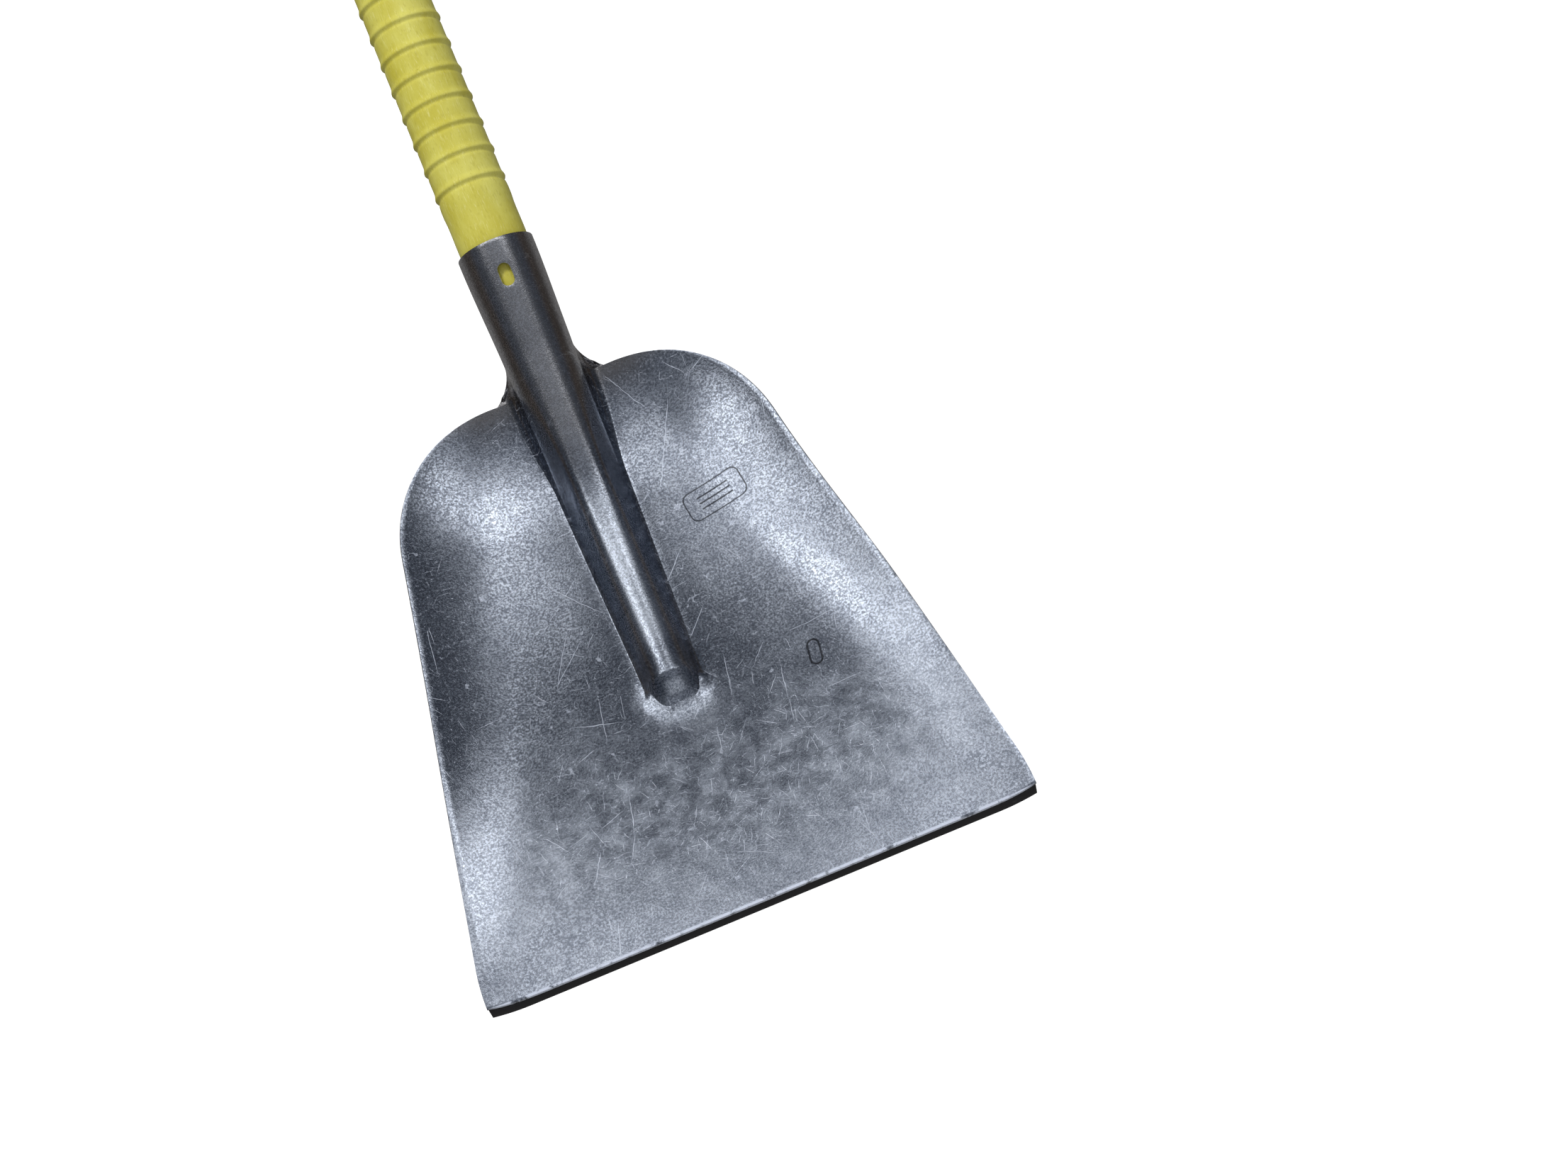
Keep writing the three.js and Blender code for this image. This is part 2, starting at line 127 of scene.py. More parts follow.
SLOT_AT, SLOT_WIDTH, SLOT_LENGTH = 92, 7, 12.5
STRIP_THICK, STRIP_DEPTH = 7.5, 14
STRIP_INSET = 0.4

# ---- the handle, millimetres along its axis ----
HANDLE_START = 4
handle_low, handle_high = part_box("handle")
HANDLE_END = HANDLE_START + (handle_high.y - handle_low.y) / MM
KNOB_RADIUS = (handle_high.x - handle_low.x) / 2 / MM
HANDLE_RIM = 18.4
GRIP_RADIUS = 18.9
SHAFT_RADIUS = 17.2
NECK_RADIUS = 19
RING_COUNT, RING_PITCH = 12, 15.6
FIRST_RING = RIM_AT + 35.5
RING_HEIGHT = 0.9
SCREW_AT = 96
SCREW_ANGLE = math.radians(135)
SCREW_LENGTH, SHANK_RADIUS = 20, 2.1
CROSS_REACH, CROSS_HALF, CROSS_FLOOR = 2.4, 0.45, 0.9  # the recess in the head


def blade_matrix():
    """From millimetres in the blade's frame to metres in the row's frame."""
    turn = Matrix.Rotation(-LIFT, 4, "X")
    level = turn @ Vector((0, AXIS_Y, AXIS_Z)) * MM
    place = Vector((0, KNOB_END.y - HANDLE_END * MM - level.y, KNOB_END.z - level.z))
    return Matrix.Translation(place) @ turn @ Matrix.Scale(MM, 4)


TO_ROW = blade_matrix()


# ---- small helpers ----
def mix(a, b, t):
    return a + (b - a) * t


def clamp01(t):
    return min(1.0, max(0.0, t))


def ease(t):
    t = clamp01(t)
    return t * t * (3 - 2 * t)


def bell(t):
    return math.cos(min(1, abs(t)) * math.pi / 2) ** 2


def soft_max(a, b, width):
    return 0.5 * (a + b + math.sqrt((a - b) ** 2 + width ** 2))


def mesh_object(name, points, faces):
    mesh = bpy.data.meshes.new(name)
    mesh.from_pydata([TO_ROW @ Vector(p) for p in points], [], faces)
    mesh.validate()
    obj = bpy.data.objects.new(name, mesh)
    scene.collection.objects.link(obj)
    bm = bmesh.new()
    bm.from_mesh(mesh)
    bmesh.ops.recalc_face_normals(bm, faces=bm.faces)
    bm.to_mesh(mesh)
    bm.free()
    mesh.polygons.foreach_set("use_smooth", [True] * len(mesh.polygons))
    return obj


def grid_faces(rows, columns, skip=()):
    faces = []
    for i in range(rows - 1):
        for j in range(columns - 1):
            if (i, j) not in skip:
                a = i * columns + j
                faces.append((a, a + 1, a + columns + 1, a + columns))
    return faces


def apply_modifiers(obj):
    bpy.context.view_layer.update()
    depsgraph = bpy.context.evaluated_depsgraph_get()
    mesh = bpy.data.meshes.new_from_object(obj.evaluated_get(depsgraph))
    obj.modifiers.clear()
    obj.data = mesh


def round_edges(obj, bevel, segments=2):
    edge = obj.modifiers.new("edge", "BEVEL")
    edge.width = bevel * MM
    edge.segments = segments
    edge.limit_method = "ANGLE"
    edge.angle_limit = math.radians(50)
    apply_modifiers(obj)
    obj.data.polygons.foreach_set("use_smooth", [True] * len(obj.data.polygons))


def thicken(obj, thickness, bevel):
    """Gives a sheet its thickness, below its face, and rounds its edges."""
    solid = obj.modifiers.new("thickness", "SOLIDIFY")
    solid.thickness = thickness * MM
    solid.offset = -1
    solid.use_even_offset = True
    round_edges(obj, bevel)


# ---- the scoop's surface ----
def side_line(y):
    return FRONT_HALF - SIDE_TAPER * y


def half_width(y):
    t = clamp01((y - CORNER_START) / (BLADE_LENGTH - CORNER_START))
    tuck = CORNER_TUCK * clamp01(1 - y / FRONT_CORNER) ** 2
    corner = (1 - t ** CORNER_POWER) ** (1 / CORNER_POWER)
    return SHOULDER_HALF + (side_line(y) - SHOULDER_HALF) * corner - tuck


def wane(x, y, edge):
    """How far the right side is drawn in; the blade isn't quite even."""
    return WANE * bell((y - WANE_AT) / WANE_HALF) * max(0, x / edge) ** 2


def tuck_back(x, y):
    """How far the front corners are drawn back from the straight edge."""
    across = clamp01((abs(x) - side_line(y) + FRONT_CORNER) / FRONT_CORNER) ** 2
    return CORNER_TUCK * across * clamp01(1 - y / (2 * FRONT_CORNER))


def dish(x, y):
    back = clamp01(y / CORNER_START)
    across = abs(x)
    curl_width = mix(CURL_WIDTH, CURL_WIDTH_BACK, back)
    curl = clamp01((across - side_line(y) + curl_width) / curl_width) ** 2
    bowl = ease((y - BOWL_START) / BOWL_LENGTH) * (across / side_line(y)) ** BOWL_POWER
    heel = HEEL_RISE * clamp01((y - BLADE_LENGTH + HEEL_WIDTH) / HEEL_WIDTH) ** 2
    belly = BELLY_DEPTH * bell((y - BELLY_AT) / BELLY_HALF)
    trough = ease((y - TROUGH_START) / TROUGH_GROWTH) * math.exp(-((across - TROUGH_AT) / TROUGH_WIDTH) ** 2)
    curl *= mix(SIDE_CURL, SIDE_CURL_BACK, back)
    return curl + BOWL_DEPTH * bowl + heel - belly - TROUGH_DEPTH * trough


def swell(x, y):
    """The low mound in the blade round the ridge's nose."""
    reach = math.hypot(x, min(0, y - SWELL_AT)) / SWELL_REACH
    return SWELL * bell(reach) * (1 - ease((y - SWELL_AT) / SWELL_FADE))


def axis_height(y):
    return AXIS_Z + (y - AXIS_Y) * math.tan(LIFT)


def round_share(y):
    """How far the ridge's section has turned from a hump into the socket's tube."""
    return ease((y - ROUND_START) / (BLADE_LENGTH - ROUND_START))


def ridge_section(y):
    nose = ease((y - RIDGE_END) / RIDGE_NOSE)
    back = clamp01((y - RIDGE_END) / (CORNER_START - RIDGE_END))
    half = mix(RIDGE_HALF, WAIST_RADIUS, clamp01((y - RIDGE_END) / (BLADE_LENGTH - RIDGE_END)))
    base = dish(0, y)
    blend = nose * BEND_BLEND * (1 - round_share(y))
    pressed = base + mix(swell(0, y), mix(RIDGE_HEIGHT, RIDGE_HEIGHT_BACK, back), nose)
    crest = soft_max(pressed, axis_height(y) + WAIST_RADIUS / COS_LIFT, blend)
    plan = mix(NOSE_WIDTH, 1, math.sqrt(1 - (1 - clamp01((y - RIDGE_END) / RIDGE_NOSE)) ** 2))
    low = max(swell(half * plan, y), nose * RIDGE_FOOT)
    foot = soft_max(base + low, axis_height(y), blend)
    extra = BACK_FILLET * ease((y - BACK_FILLET_START) / (BLADE_LENGTH - BACK_FILLET_START))
    return half * plan, crest, foot, mix(NOSE_FILLET, FOOT_FILLET, nose) + extra


def fall(x, half, height):
    """How far the ridge has fallen at x: a gently round top, round shoulders, straight walls."""
    top = TOP_RADIUS * half
    wall = math.tan(WALL_SLOPE)
    top_x, top_fall = top * math.sin(TOP_SLOPE), top * (1 - math.cos(TOP_SLOPE))
    bend_x = math.sin(WALL_SLOPE) - math.sin(TOP_SLOPE)
    bend_fall = math.cos(TOP_SLOPE) - math.cos(WALL_SLOPE)
    least = top_fall + (half - top_x) / bend_x * bend_fall  # the fall of a section with no wall
    tall = max(height, least)
    bend = (wall * (half - top_x) + top_fall - tall) / (wall * bend_x - bend_fall)
    if x < top_x:
        drop = top - math.sqrt(top ** 2 - x ** 2)
    elif x < top_x + bend * bend_x:
        sine = math.sin(TOP_SLOPE) + (x - top_x) / bend
        drop = top_fall + bend * (math.cos(TOP_SLOPE) - math.sqrt(1 - sine ** 2))
    else:
        drop = tall - (half - x) * wall
    return drop * height / tall


ARC_STEPS, FILLET_STEPS, WING_STEPS = 24, 8, 26
WING_CROWDING = 0.85  # below 1 crowds the wing's points towards its edge
LEAST_WING = 0.3


def blade_section(y, edge):
    half, crest, foot, fillet = ridge_section(y)
    fillet = min(fillet, edge - half - LEAST_WING)
    points = []
    for i in range(ARC_STEPS + 1):
        a = i / ARC_STEPS * math.pi / 2
        x, height = half * math.sin(a), crest - foot
        above = mix(height - fall(x, half, height), height * math.cos(a), round_share(y))
        points.append((x, foot + above))
    for i in range(1, FILLET_STEPS + 1):
        t = i / FILLET_STEPS
        x = half + fillet * mix(t, 1 - math.cos(t * math.pi / 2), round_share(y))
        base = dish(x, y) + swell(x, y)
        points.append((x, base + (foot - base) * (1 - t) ** 2))
    for k in range(1, WING_STEPS + 1):
        x = mix(half + fillet, edge, (k / WING_STEPS) ** WING_CROWDING)
        points.append((x, dish(x, y) + swell(x, y)))
    return points


def socket_angles():
    rest = FILLET_STEPS + WING_STEPS
    front = [i / ARC_STEPS * math.pi / 2 for i in range(ARC_STEPS + 1)]
    back = [math.pi / 2 + i / rest * (math.pi / 2 - SEAM_HALF) for i in range(1, rest + 1)]
    return front + back


def socket_section(radius):
    return [(radius * math.sin(a), radius * math.cos(a)) for a in socket_angles()]


def mirrored(half):
    return [(-x, z) for x, z in reversed(half[1:])] + half


def axis_point(s):
    return Vector((0, AXIS_Y + s * COS_LIFT, AXIS_Z + s * SIN_LIFT))


def socket_radius(s):
    return mix(WAIST_RADIUS, RIM_RADIUS, ease((s - SHOULDER_AT) / (RIM_AT - SHOULDER_AT)))


def shoulder_row(d):
    """One section past the shoulders, where the sheet rolls up from blade to socket."""
    s = SHOULDER_AT + d
    tilt = LIFT * clamp01(d / TILT_LENGTH)
    closed = ease(d / FLARE)
    centre = axis_point(s)
    stretch = 1 / math.cos(LIFT - tilt)
    spread = (1 - clamp01(d / FLARE_EDGE)) ** 2
    edge = WAIST_RADIUS + SHOULDER_LIP + (SHOULDER_HALF - WAIST_RADIUS - SHOULDER_LIP) * spread
    flat = blade_section(BLADE_LENGTH, edge)
    drop = axis_height(BLADE_LENGTH) + d * SIN_LIFT * SINK
    row = []
    for i, (rx, rz) in enumerate(socket_section(socket_radius(s))):
        fx, fz = flat[i]
        on_arc = i <= ARC_STEPS
        height = rz * stretch if on_arc else fz - drop
        row.append((mix(rx if on_arc else fx, rx, closed), mix(height, rz * stretch, closed)))
    return [(x - wane(x, BLADE_LENGTH, edge) * spread, centre.y - b * math.sin(tilt),
             centre.z + b * math.cos(tilt)) for x, b in mirrored(row)]


def on_slot(a, s):
    """The slot's outline in the direction (a, s) from its centre."""
    radius = SLOT_WIDTH / 2
    straight = (SLOT_LENGTH - SLOT_WIDTH) / 2
    low, high = 0.0, 1.0
    halvings = 30
    for _ in range(halvings):
        t = (low + high) / 2
        past_end = max(0.0, abs(s * t) - straight)
        if math.hypot(a * t, past_end) < radius:
            low = t
        else:
            high = t
    return a * low, s * low


SLOT_COLUMNS, SLOT_ROWS = 3, 7  # grid steps from the slot's middle to the edge of its hole
SLOT_ROW_STEP = 1.15


def socket_row(s, slot_row=None):
    """One section of the closed socket; near the slot its points move to the slot's outline."""
    angles = socket_angles()
    angles = [-a for a in reversed(angles[1:])] + angles
    middle = len(angles) // 2
    row = []
    for j, angle in enumerate(angles):
        s_here = s
        if slot_row is not None:
            radius = socket_radius(s)
            column = j - middle
            reach = max(abs(column) / SLOT_COLUMNS, abs(slot_row) / SLOT_ROWS)
            if 1 <= reach + 1e-6 and reach < 2:
                block_a = column / reach / ARC_STEPS * math.pi / 2 * radius
                block_s = slot_row / reach * SLOT_ROW_STEP
                far_a, far_s = on_slot(block_a * 3, block_s * 3)
                share = 2 - reach
                angle += share * (far_a - block_a) / radius
                s_here += share * (far_s - block_s)
        centre = axis_point(s_here)
        radius = socket_radius(s_here)
        b = radius * math.cos(angle)
        row.append((radius * math.sin(angle), centre.y - b * SIN_LIFT, centre.z + b * COS_LIFT))
    return row


ROW_STEP = 1.5  # between the sections of the shoulders


def blade_stations():
    """Where along the blade its sections are, closer where it bends more."""
    step = 5
    stations = [0, 1.5, 3.5, 6, 9, 12.5, 16.5, 21]
    while stations[-1] < RIDGE_END - 8:
        stations.append(stations[-1] + step)
    nose_steps = 20
    for i in range(nose_steps + 1):
        stations.append(RIDGE_END + RIDGE_NOSE * i / nose_steps)
    steps = 28
    for i in range(1, steps):
        stations.append(mix(RIDGE_END + RIDGE_NOSE, CORNER_START, i / steps))
    corner_steps = 40
    for i in range(corner_steps + 1):
        t = math.sin(i / corner_steps * math.pi / 2)
        stations.append(mix(CORNER_START, BLADE_LENGTH, t))
    return stations


def blade_rows():
    rows = []
    for y in blade_stations():
        edge = half_width(y)
        rows.append([(x - wane(x, y, edge), y + tuck_back(x, y), z)
                     for x, z in mirrored(blade_section(y, edge))])
    return rows


def socket_rows():
    """The closed socket's sections, and the number of the one where the slot's hole starts."""
    start = SHOULDER_AT + FLARE
    rows = [socket_row(start)]
    reach = 2 * SLOT_ROWS
    least_gap = 0.4
    for k in range(1 - reach, reach):
        s = SLOT_AT + k * SLOT_ROW_STEP
        if s > start + least_gap:
            if k == -SLOT_ROWS:
                hole_row = len(rows)
            rows.append(socket_row(s, k))
    rim_rows = 3
    for k in range(1, rim_rows + 1):
        rows.append(socket_row(mix(s, RIM_AT, k / rim_rows)))
    return rows, hole_row


def build_scoop():
    rows = blade_rows()
    rows += [shoulder_row(i * ROW_STEP) for i in range(1, int(FLARE / ROW_STEP))]
    tube, slot_first = socket_rows()
    slot_first += len(rows)
    rows += tube
    columns = len(rows[0])
    middle = columns // 2
    skip = {(slot_first + i, middle - SLOT_COLUMNS + j)
            for i in range(2 * SLOT_ROWS) for j in range(2 * SLOT_COLUMNS)}
    points = [p for row in rows for p in row]
    obj = mesh_object("scoop", points, grid_faces(len(rows), columns, skip))
    bm = bmesh.new()
    bm.from_mesh(obj.data)
    bmesh.ops.delete(bm, geom=[v for v in bm.verts if not v.link_faces], context="VERTS")
    up = sum(f.normal.z * f.calc_area() for f in bm.faces)
    if up < 0:
        bmesh.ops.reverse_faces(bm, faces=bm.faces)
    bm.to_mesh(obj.data)
    bm.free()
    thicken(obj, SHEET, 0.4)
    return obj


def build_strip():
    """Its upper face follows the sheet and its lower face is flat."""
    steps_x, steps_y = 90, 8
    upper, lower = [], []
    for i in range(steps_y + 1):
        y = i / steps_y * STRIP_DEPTH
        half = half_width(y) - STRIP_INSET
        for j in range(steps_x + 1):
            x = half * math.sin((2 * j / steps_x - 1) * math.pi / 2)
            place = y + tuck_back(x, y)
            upper.append((x, place, dish(x, y) - SHEET - GAP))
            lower.append((x, place, -SHEET - GAP - STRIP_THICK))
    columns, count = steps_x + 1, len(upper)
    skin = grid_faces(steps_y + 1, columns)
    faces = skin + [[k + count for k in reversed(face)] for face in skin]
    rim = list(range(columns)) + [columns * (i + 1) - 1 for i in range(1, steps_y + 1)]
    rim += [count - 2 - j for j in range(steps_x)] + [columns * i for i in range(steps_y - 1, 0, -1)]
    for a, b in zip(rim, rim[1:] + rim[:1]):
        faces.append((b, a, a + count, b + count))
    obj = mesh_object("front_edge", upper + lower, faces)
    round_edges(obj, 0.9, 3)
    return obj


# ---- the handle ----
def catmull(points, s):
    """A smooth radius through (place, radius) points."""
    for k in range(len(points) - 1):
        if s <= points[k + 1][0] or k == len(points) - 2:
            break
    (s1, r1), (s2, r2) = points[k], points[k + 1]
    s0, r0 = points[max(0, k - 1)]
    s3, r3 = points[min(len(points) - 1, k + 2)]
    m1 = (r2 - r0) / (s2 - s0)
    m2 = (r3 - r1) / (s3 - s1)
    h = s2 - s1
    t = clamp01((s - s1) / h)
    return ((2 * t ** 3 - 3 * t ** 2 + 1) * r1 + (t ** 3 - 2 * t ** 2 + t) * h * m1
            + (3 * t ** 2 - 2 * t ** 3) * r2 + (t ** 3 - t ** 2) * h * m2)


GRIP_END = FIRST_RING + RING_COUNT * RING_PITCH
KNOB_CORNER, KNOB_CAP = 14, 15  # the rounded end: how far in from the side, how far from the end
HANDLE_SHAPE = [
    (HANDLE_START + 9, 12.5), (SHOULDER_AT + 6, WAIST_RADIUS - SHEET - 0.6),
    (RIM_AT - 14, HANDLE_RIM - 1.7), (RIM_AT, HANDLE_RIM), (RIM_AT + 20, HANDLE_RIM + 0.1),
    (RIM_AT + 27, GRIP_RADIUS), (RIM_AT + 34, GRIP_RADIUS - 0.3), (RIM_AT + 50, GRIP_RADIUS - 0.2),
    (GRIP_END - RING_PITCH, GRIP_RADIUS), (GRIP_END + 30, GRIP_RADIUS - 0.5),
    (GRIP_END + 150, SHAFT_RADIUS), (HANDLE_END - 300, SHAFT_RADIUS),
    (HANDLE_END - 150, SHAFT_RADIUS + 0.5), (HANDLE_END - 60, NECK_RADIUS - 0.5),
    (HANDLE_END - 44, NECK_RADIUS), (HANDLE_END - 31, NECK_RADIUS + 1),
    (HANDLE_END - 21, KNOB_RADIUS - 0.4), (HANDLE_END - KNOB_CAP, KNOB_RADIUS),
]


def ring_height(s):
    """A grip ring: a bead with a groove on its socket side, fading out towards the knob."""
    k = round((s - FIRST_RING) / RING_PITCH)
    if not 0 <= k < RING_COUNT:
        return 0.0
    u = s - FIRST_RING - k * RING_PITCH
    bead = math.exp(-(u / (1.0 if u < 0 else 2.1)) ** 2) * RING_HEIGHT
    groove = -0.4 * math.exp(-((u + 2.4) / 0.9) ** 2)
    return bead + groove


def handle_profile():
    profile = [(0, HANDLE_START), (6, HANDLE_START + 0.3), (9, HANDLE_START + 1.5),
               (11.4, HANDLE_START + 4.5)]
    s = HANDLE_START + 9
    grip_start, grip_stop = FIRST_RING - 8, FIRST_RING + (RING_COUNT - 1) * RING_PITCH + 8
    while s < HANDLE_END - KNOB_CAP:
        profile.append((catmull(HANDLE_SHAPE, s) + ring_height(s), s))
        s += 0.5 if grip_start < s < grip_stop else 4.0
    steps = 12
    for i in range(steps + 1):
        a = i / steps * math.pi / 2
        profile.append((KNOB_RADIUS - KNOB_CORNER + KNOB_CORNER * math.cos(a),
                        HANDLE_END - KNOB_CAP + KNOB_CAP * math.sin(a)))
    profile.append((0, HANDLE_END))
    return profile


def lathe(name, profile, sides, frame_of):
    """Turns (radius, place) points about an axis; frame_of gives a place's centre and two sides."""
    points, faces, rings = [], [], []
    for r, s in profile:
        centre, side_a, side_b = frame_of(s)
        if r < 1e-6:
            rings.append([len(points)] * sides)
            points.append(centre)
            continue
        rings.append(list(range(len(points), len(points) + sides)))
        for k in range(sides):
            a = 2 * math.pi * k / sides
            points.append(centre + side_a * (r * math.cos(a)) + side_b * (r * math.sin(a)))
    for low, high in zip(rings, rings[1:]):
        for k in range(sides):
            quad = [low[k], low[(k + 1) % sides], high[(k + 1) % sides], high[k]]
            face = list(dict.fromkeys(quad))
            if len(face) > 2:
                faces.append(face)
    return mesh_object(name, points, faces)


def along_axis(s):
    return axis_point(s), Vector((1, 0, 0)), Vector((0, -SIN_LIFT, COS_LIFT))


def build_handle():
    return lathe("yellow_handle", handle_profile(), 80, along_axis)


def build_screw():
    seat = socket_radius(SCREW_AT) + GAP
    out = Vector((math.sin(SCREW_ANGLE), -SIN_LIFT * math.cos(SCREW_ANGLE),
                  COS_LIFT * math.cos(SCREW_ANGLE)))
    along = Vector((0, COS_LIFT, SIN_LIFT))
    across = along.cross(out)

    def frame_of(h):
        return axis_point(SCREW_AT) + out * h, along, across

    tip = seat - SCREW_LENGTH
    profile = [(0, tip), (1, tip + 1.4), (SHANK_RADIUS, tip + 4), (SHANK_RADIUS, seat), (4.2, seat),
               (4.6, seat + 0.35), (4.55, seat + 0.9), (4.1, seat + 1.6), (3.2, seat + 2.15),
               (1.8, seat + 2.5), (0, seat + 2.6)]
    screw = lathe("fixing_screw", profile, 40, frame_of)
    cutter_points, cutter_faces = [], []
    above_head = seat + 4
    for long_side, short_side in ((along, across), (across, along)):
        base = len(cutter_points)
        for h in (seat + CROSS_FLOOR, above_head):
            for u, v in ((-1, -1), (1, -1), (1, 1), (-1, 1)):
                cutter_points.append(frame_of(h)[0] + long_side * u * CROSS_REACH
                                     + short_side * v * CROSS_HALF)
        for f in ((0, 1, 2, 3), (4, 7, 6, 5), (0, 4, 5, 1), (1, 5, 6, 2), (2, 6, 7, 3), (3, 7, 4, 0)):
            cutter_faces.append([base + k for k in f])
    cutter = mesh_object("screw_cross", cutter_points, cutter_faces)
    cut = screw.modifiers.new("cross", "BOOLEAN")
    cut.operation = "DIFFERENCE"
    cut.solver = "EXACT"
    cut.use_self = True
    cut.object = cutter
    apply_modifiers(screw)
    bpy.data.objects.remove(cutter)
    return screw


# ---- materials ----
class Shader:
    """Short calls for building one material's nodes."""

    def __init__(self, name):
        self.material = bpy.data.materials.new(name)
        self.material.use_nodes = True
        self.tree = self.material.node_tree
        self.tree.nodes.clear()
        self.bsdf = self.tree.nodes.new("ShaderNodeBsdfPrincipled")
        output = self.tree.nodes.new("ShaderNodeOutputMaterial")
        self.tree.links.new(self.bsdf.outputs["BSDF"], output.inputs["Surface"])

    def put(self, socket, value):
        if isinstance(value, bpy.types.NodeSocket):
            self.tree.links.new(value, socket)
        else:
            socket.default_value = value

    def math(self, operation, *values, clamp=False):
        node = self.tree.nodes.new("ShaderNodeMath")
        node.operation = operation
        node.use_clamp = clamp
        for socket, value in zip(node.inputs, values):
            self.put(socket, value)
        return node.outputs[0]

    def vector_math(self, operation, *values):
        node = self.tree.nodes.new("ShaderNodeVectorMath")
        node.operation = operation
        for socket, value in zip(node.inputs, values):
            self.put(socket, value)
        return node.outputs["Value"] if operation in ("DOT_PRODUCT", "LENGTH") else node.outputs[0]

    def range(self, value, low, high, to_low=0.0, to_high=1.0):
        node = self.tree.nodes.new("ShaderNodeMapRange")
        node.interpolation_type = "SMOOTHSTEP"
        for socket, v in zip(node.inputs, (value, low, high, to_low, to_high)):
            self.put(socket, v)
        return node.outputs[0]

    def noise(self, place, scale, detail=2.0, roughness=0.5):
        node = self.tree.nodes.new("ShaderNodeTexNoise")
        self.put(node.inputs["Vector"], place)
        node.inputs["Scale"].default_value = scale
        node.inputs["Detail"].default_value = detail
        node.inputs["Roughness"].default_value = roughness
        return node.outputs["Fac"]

    def voronoi(self, place, scale, dimensions="2D"):
        node = self.tree.nodes.new("ShaderNodeTexVoronoi")
        node.voronoi_dimensions = dimensions
        self.put(node.inputs["Vector"], place)
        node.inputs["Scale"].default_value = scale
        return node

    def mapped(self, place, location=(0, 0, 0), rotation=(0, 0, 0), scale=(1, 1, 1)):
        node = self.tree.nodes.new("ShaderNodeMapping")
        self.put(node.inputs["Vector"], place)
        node.inputs["Location"].default_value = location
        node.inputs["Rotation"].default_value = rotation
        node.inputs["Scale"].default_value = scale
        return node.outputs[0]

    def separate(self, vector):
        node = self.tree.nodes.new("ShaderNodeSeparateXYZ")
        self.put(node.inputs[0], vector)
        return node.outputs[0], node.outputs[1], node.outputs[2]

    def combine(self, x, y, z):
        node = self.tree.nodes.new("ShaderNodeCombineXYZ")
        for socket, value in zip(node.inputs, (x, y, z)):
            self.put(socket, value)
        return node.outputs[0]

    def colour(self, share, low, high):
        node = self.tree.nodes.new("ShaderNodeMix")
        node.data_type = "RGBA"
        self.put(node.inputs[0], share)
        for socket, value in ((node.inputs[6], low), (node.inputs[7], high)):
            self.put(socket, (*value, 1) if isinstance(value, tuple) else value)
        return node.outputs[2]

    def bump(self, height, distance, strength=1.0, normal=None):
        node = self.tree.nodes.new("ShaderNodeBump")
        node.inputs["Distance"].default_value = distance
        node.inputs["Strength"].default_value = strength
        self.put(node.inputs["Height"], height)
        if normal is not None:
            self.put(node.inputs["Normal"], normal)
        return node.outputs[0]

    def about_zero(self, value, weight):
        """A value round a half, moved to round zero, times the weight."""
        return self.math("MULTIPLY", self.math("SUBTRACT", value, 0.5), weight)

    def place(self):
        return self.tree.nodes.new("ShaderNodeTexCoord").outputs["Object"]

    def blade_place(self):
        """The point in the blade's frame, in millimetres."""
        inverse = TO_ROW.inverted()
        return self.mapped(self.place(), inverse.translation, (LIFT, 0, 0), (1 / MM,) * 3)


WIGGLE = 2.2  # millimetres, for the whole range of the pattern


def wiggled(shader, place):
    """The same place, moved about by up to a millimetre or so, so that lines on it waver."""
    node = shader.tree.nodes.new("ShaderNodeTexNoise")
    shader.put(node.inputs["Vector"], place)
    node.inputs["Scale"].default_value = 0.11
    node.inputs["Detail"].default_value = 4.0
    node.inputs["Roughness"].default_value = 0.62
    centred = shader.vector_math("SUBTRACT", node.outputs["Color"], (0.5, 0.5, 0.5))
    return shader.vector_math("ADD", place, shader.vector_math("MULTIPLY", centred, (WIGGLE,) * 3))


def later(shader, place, earlier):
    """The same place, tied to an earlier result, so that a long material is worked out in turn."""
    return shader.vector_math("ADD", place, shader.math("MULTIPLY", earlier, 1e-6))


def curls(shader, place, size, width, seed):
    """Thin curly hairlines: the level lines of a smooth pattern, broken into pieces."""
    moved = shader.mapped(place, (seed * 37.3, seed * 19.7, 0))
    node = shader.tree.nodes.new("ShaderNodeTexNoise")
    node.noise_dimensions = "2D"
    shader.put(node.inputs["Vector"], moved)
    node.inputs["Scale"].default_value = 1 / size
    node.inputs["Detail"].default_value = 1.0
    off = shader.math("ABSOLUTE", shader.math("SUBTRACT", node.outputs["Fac"], 0.5))
    line = shader.range(off, width * 0.3 / size, width / size, 1.0, 0.0)
    pieces = shader.noise(shader.mapped(place, (seed * 11.1, seed * 5.3, 0)), 1.7 / size, 1.0)
    return shader.math("MULTIPLY", line, shader.range(pieces, 0.5, 0.58))


